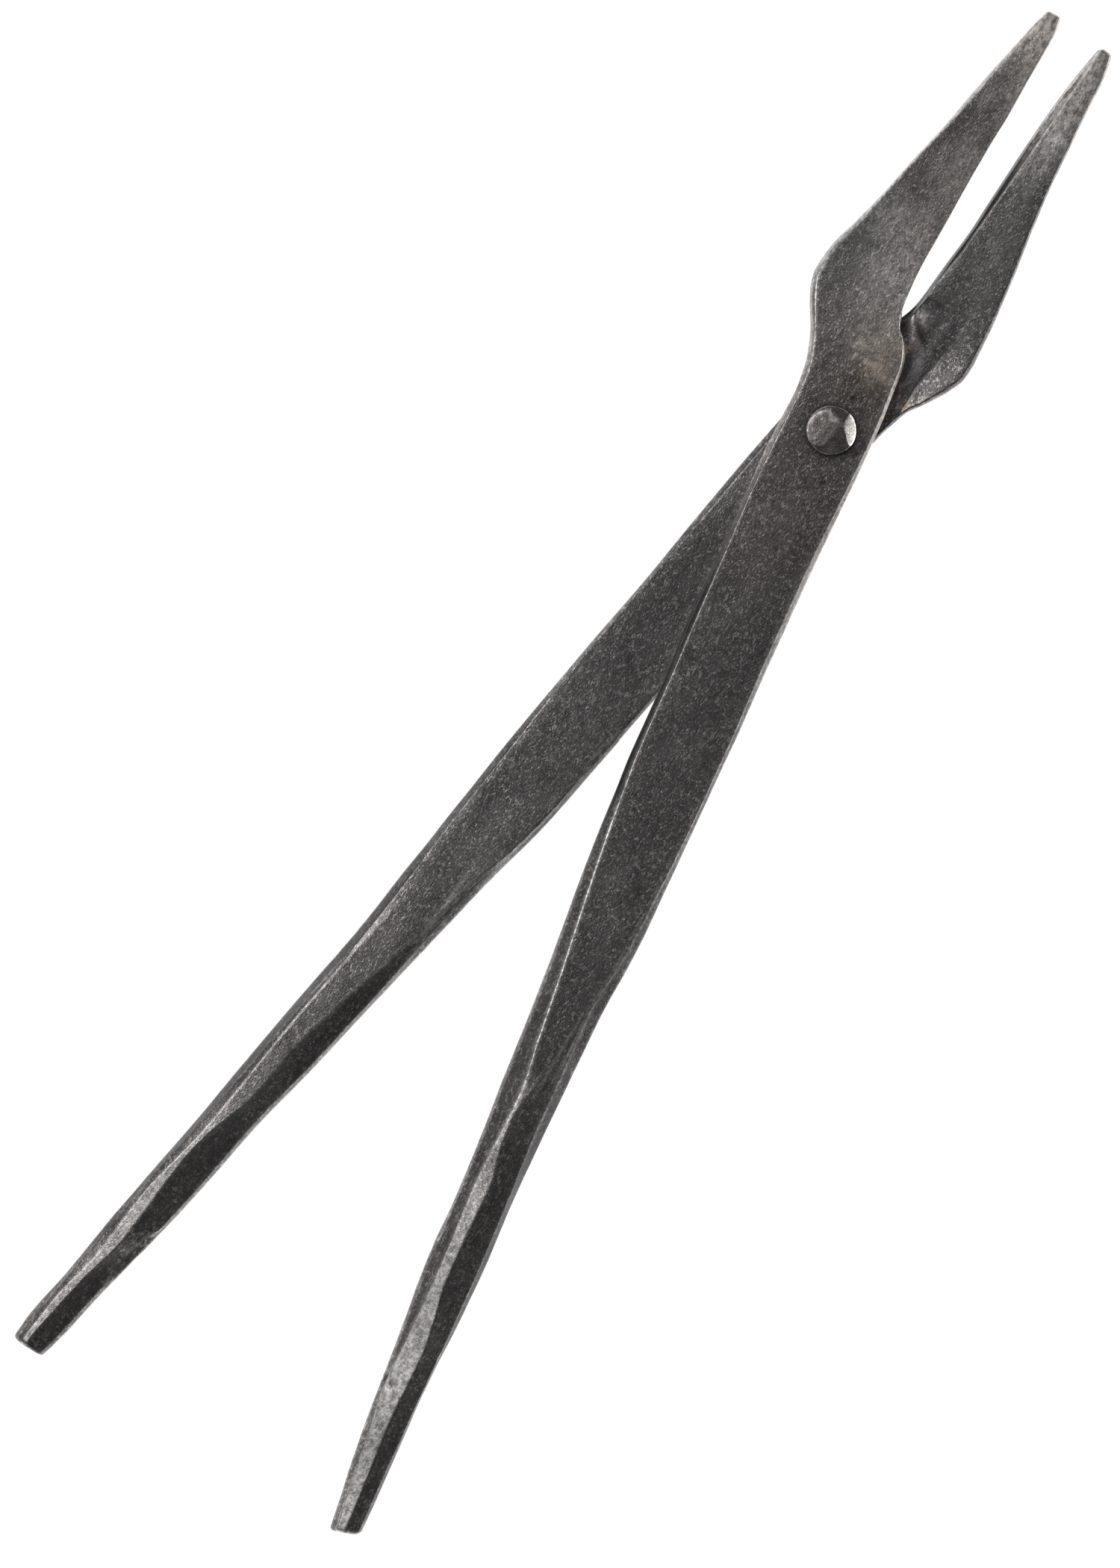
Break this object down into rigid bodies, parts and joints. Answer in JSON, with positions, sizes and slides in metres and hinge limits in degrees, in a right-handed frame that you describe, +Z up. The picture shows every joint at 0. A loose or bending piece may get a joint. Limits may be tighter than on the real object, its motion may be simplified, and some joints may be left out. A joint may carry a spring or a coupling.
{
  "type": "crucible tongs",
  "caption": "Hand-forged crucible tongs: crossed steel bars on a peened rivet, with flat tapering jaws and long faceted reins, for gripping and lifting hot crucibles.",
  "frame": {"origin": "where the rivet's axis meets the bench, at the centre of the flat of the rear rivet head", "axes": "+Y along the middle of the closed jaws towards their tips, +X to the right seen from above, +Z up along the rivet"},
  "size_m": [0.1066, 0.449, 0.0201],
  "materials": {
    "forged_steel": "hot-forged, black mill scale with fine pitting and rubbed edges",
    "rivet_steel": "hammered, thin brown-grey scale"
  },
  "bodies": {
    "front": {"front_half": "forged_steel", "rivet": "rivet_steel"},
    "rear": {"rear_half": "forged_steel"}
  },
  "joints": [
    {"name": "pivot", "type": "hinge", "parent": "front", "child": "rear", "pos_m": [0, 0, 0.00975], "axis": [0, 0, 1], "range_deg": [-30, 5]}
  ]
}
